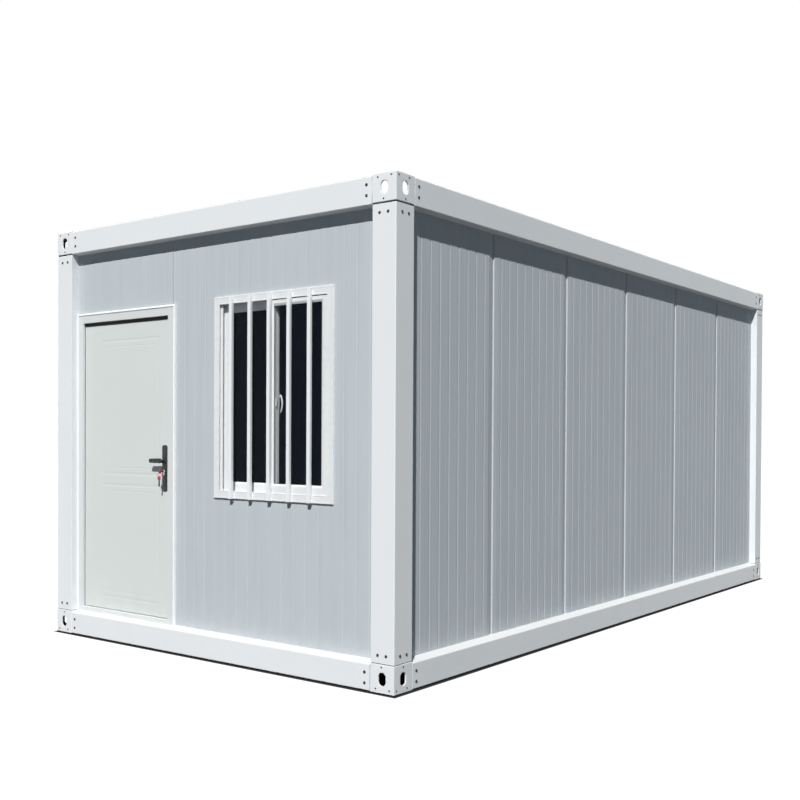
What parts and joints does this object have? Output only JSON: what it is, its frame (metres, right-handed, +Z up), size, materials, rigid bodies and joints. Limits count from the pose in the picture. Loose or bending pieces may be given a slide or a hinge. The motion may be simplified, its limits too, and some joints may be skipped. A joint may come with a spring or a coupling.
{
  "type": "flat-pack container house",
  "caption": "Flat-pack cabin: white steel frame with corner blocks, grey sandwich-panel walls, a hinged door with lever handle and a barred sliding window.",
  "frame": {"origin": "on the ground, at the middle of the footprint", "axes": "+Z up, +Y from the front with the door to the rear, +X to the right as seen from the front"},
  "size_m": [3, 5.95, 2.8],
  "materials": {
    "frame_white": "satin white paint",
    "wall_grey": "satin light grey coated steel skin",
    "joist_steel": "satin galvanised",
    "deck_board": "matt board",
    "ceiling_white": "satin white",
    "roof_steel": "satin coated steel",
    "door_white": "satin off-white paint",
    "hinge_steel": "brushed",
    "lock_bronze": "dark satin",
    "window_white": "semi-gloss white",
    "glass_dark": "clear, dark room behind",
    "bar_white": "satin white paint"
  },
  "bodies": {
    "house": {"base_corner_front_left": "frame_white", "corner_post_front_left": "frame_white", "roof_corner_front_left": "frame_white", "base_corner_front_right": "frame_white", "corner_post_front_right": "frame_white", "roof_corner_front_right": "frame_white", "base_corner_rear_left": "frame_white", "corner_post_rear_left": "frame_white", "roof_corner_rear_left": "frame_white", "base_corner_rear_right": "frame_white", "corner_post_rear_right": "frame_white", "roof_corner_rear_right": "frame_white", "base_beam_front": "frame_white", "roof_beam_front": "frame_white", "base_beam_rear": "frame_white", "roof_beam_rear": "frame_white", "base_beam_left": "frame_white", "roof_beam_left": "frame_white", "base_beam_right": "frame_white", "roof_beam_right": "frame_white", "floor_joists": "joist_steel", "floor_deck": "deck_board", "ceiling": "ceiling_white", "roof_sheet": "roof_steel", "left_wall_panels": "wall_grey", "right_wall_panels": "wall_grey", "rear_wall_panels": "wall_grey", "front_wall_panels": "wall_grey", "front_wall_head_panels": "wall_grey", "front_wall_sill_panel": "wall_grey", "door_frame": "door_white", "door_hinges": "hinge_steel", "window_frame": "window_white", "window_sash_outer": "window_white", "window_sash_inner": "window_white", "window_glass": "glass_dark", "security_bars": "bar_white"},
    "door": {"door_leaf": "door_white", "door_hinge_flaps": "hinge_steel", "lock_plates": "lock_bronze"},
    "lever": {"door_lever": "lock_bronze"}
  },
  "joints": [
    {"name": "door_swing", "type": "hinge", "parent": "house", "child": "door", "pos_m": [-1.28, -2.8565, 1.18], "axis": [0, 0, 1], "range_deg": [0, 90]},
    {"name": "lever_turn", "type": "hinge", "parent": "door", "child": "lever", "pos_m": [-0.43, -2.887, 1.218], "axis": [0, -1, 0], "range_deg": [0, 45], "stiffness_Nm_per_rad": 1.2, "springref_deg": -20.05}
  ]
}
